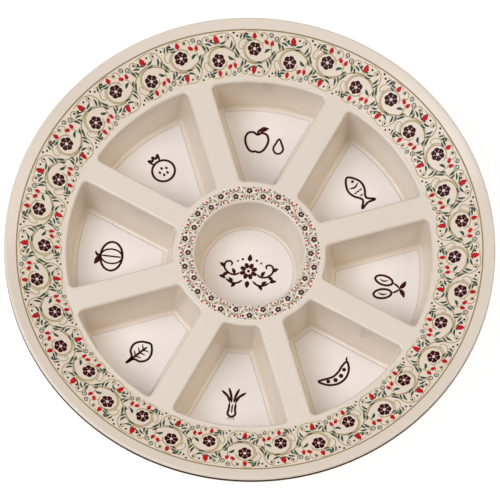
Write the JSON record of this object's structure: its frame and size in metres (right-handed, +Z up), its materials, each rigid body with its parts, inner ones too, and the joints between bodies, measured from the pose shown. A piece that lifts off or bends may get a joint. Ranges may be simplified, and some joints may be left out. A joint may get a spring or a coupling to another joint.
{
  "type": "compartment serving plate",
  "caption": "Round moulded serving plate with wedge wells set around a round centre well, flat spokes, a rising rim and printed foils let flush into rim, ring and floors.",
  "frame": {"origin": "centre of the resting plane under the wells", "axes": "+Z up out of the wells, +X through the middle of one wedge well, +Y through the middle of another, away from the picture's camera"},
  "size_m": [0.36, 0.36, 0.057],
  "materials": {
    "melamine": "satin-gloss ivory melamine",
    "print_foil": "gloss ivory overlay foil",
    "print_gold": "old-gold print ink",
    "print_maroon": "dark maroon print ink",
    "print_red": "red print ink",
    "print_green": "dark green print ink",
    "print_ink": "near-black print ink"
  },
  "bodies": {
    "root": {"plate_body": "melamine", "rim_band_foil": "print_foil", "hub_ring_foil": "print_foil", "hub_floor_foil": "print_foil", "well_foil_right": "print_foil", "well_foil_back_right": "print_foil", "well_foil_back": "print_foil", "well_foil_back_left": "print_foil", "well_foil_left": "print_foil", "well_foil_front_left": "print_foil", "well_foil_front": "print_foil", "well_foil_front_right": "print_foil"}
  },
  "joints": []
}
